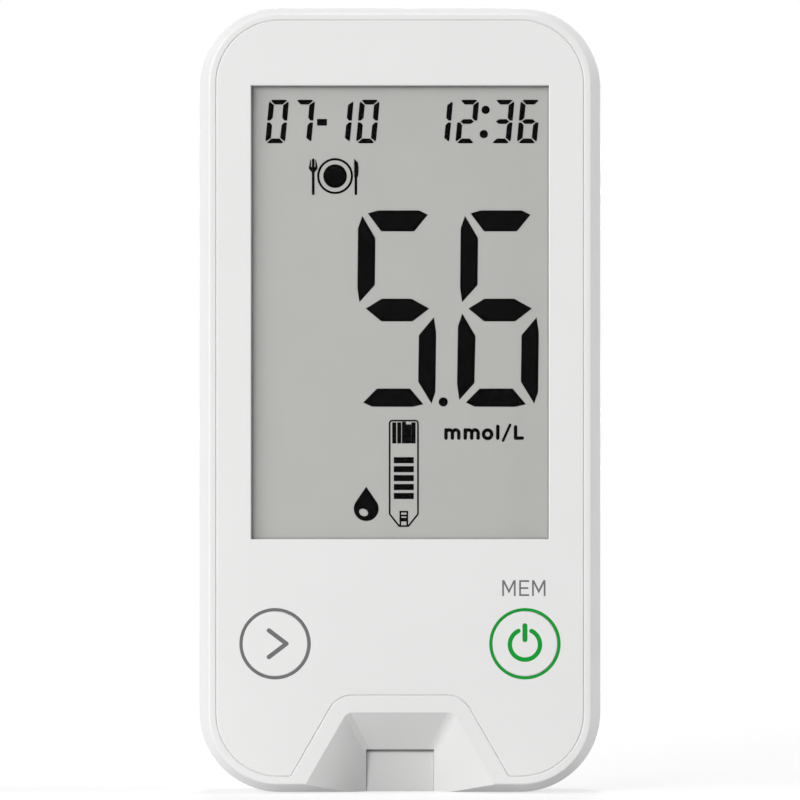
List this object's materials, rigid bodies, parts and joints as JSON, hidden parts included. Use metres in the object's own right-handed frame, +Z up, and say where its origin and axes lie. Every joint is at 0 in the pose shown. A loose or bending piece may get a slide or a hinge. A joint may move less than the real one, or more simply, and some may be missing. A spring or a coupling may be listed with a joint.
{
  "type": "blood glucose meter",
  "caption": "Slim handheld blood glucose meter with a large segment display, round flush keys, a strip port at its lower end and a sliding battery door.",
  "frame": {"origin": "middle of the lower end's bounding box: the meter stands upright on its lower end", "axes": "+Z up the meter from its strip port end, +X to the right seen from the display side, +Y from the display face to the back"},
  "size_m": [0.0486, 0.0154, 0.095],
  "materials": {
    "shell_white": "fine satin texture",
    "panel_white": "fine satin texture",
    "back_white": "fine satin texture",
    "key_white": "satin",
    "ramp_white": "satin",
    "ink_grey": "printed",
    "ink_green": "printed",
    "adhesive": "double-sided tape",
    "lens_clear": "clear, polished",
    "gasket_foam": "closed-cell foam",
    "polarizer_grey": "satin film",
    "segment_black": "dark",
    "display_glass": "polished",
    "reflector_film": "satin film",
    "holder_plastic": "moulded",
    "zebra_rubber": "layered",
    "board_green": "solder mask",
    "chip_black": "moulded",
    "can_steel": "satin",
    "capacitor_tan": "ceramic",
    "resistor_black": "ceramic",
    "connector_black": "moulded",
    "spring_gold": "gold plated",
    "spring_steel": "nickel plated",
    "screw_steel": "zinc plated",
    "cell_steel": "satin",
    "cell_seal": "moulded",
    "pad_foam": "closed-cell foam"
  },
  "bodies": {
    "housing": {"analog_front_end": "chip_black", "back_cover": "back_white", "battery_negative_contacts": "spring_steel", "battery_positive_contacts": "spring_steel", "board_capacitors": "capacitor_tan", "board_resistors": "resistor_black", "board_screws": "screw_steel", "case_screws": "screw_steel", "circuit_board": "board_green", "clock_crystal": "can_steel", "display_gasket": "gasket_foam", "display_lens": "lens_clear", "front_cover": "shell_white", "front_panel": "panel_white", "lcd_front_glass": "display_glass", "lcd_front_polarizer": "polarizer_grey", "lcd_holder": "holder_plastic", "lcd_icons": "segment_black", "lcd_rear_glass": "display_glass", "lcd_reflector": "reflector_film", "lcd_segments": "segment_black", "lower_cell_can": "cell_steel", "lower_cell_cap": "cell_steel", "lower_cell_gasket": "cell_seal", "memory_chip": "chip_black", "microcontroller": "chip_black", "next_key_ring": "ink_grey", "next_switch_base": "connector_black", "next_switch_cover": "spring_steel", "next_switch_dome": "spring_steel", "panel_adhesive": "adhesive", "power_key_ring": "ink_green", "power_switch_base": "connector_black", "power_switch_cover": "spring_steel", "power_switch_dome": "spring_steel", "strip_connector_body": "connector_black", "strip_contacts": "spring_gold", "strip_ramp": "ramp_white", "thermistor": "resistor_black", "upper_cell_can": "cell_steel", "upper_cell_cap": "cell_steel", "upper_cell_gasket": "cell_seal", "voltage_regulator": "chip_black", "zebra_connector": "zebra_rubber"},
    "next_key": {"next_key_cap": "key_white", "next_key_legend": "ink_grey", "next_switch_plunger": "connector_black"},
    "power_key": {"power_key_cap": "key_white", "power_key_legend": "ink_green", "power_switch_plunger": "connector_black"},
    "battery_door": {"battery_door": "back_white", "door_pressure_pad": "pad_foam"}
  },
  "joints": [
    {"name": "next_key_press", "type": "slide", "parent": "housing", "child": "next_key", "axis": [0, 1, 0], "range_m": [0, 0.0003], "stiffness_N_per_m": 5300},
    {"name": "power_key_press", "type": "slide", "parent": "housing", "child": "power_key", "axis": [0, 1, 0], "range_m": [0, 0.0003], "stiffness_N_per_m": 5300},
    {"name": "battery_door_slide", "type": "slide", "parent": "housing", "child": "battery_door", "axis": [0, 0, 1], "range_m": [0, 0.05]}
  ]
}
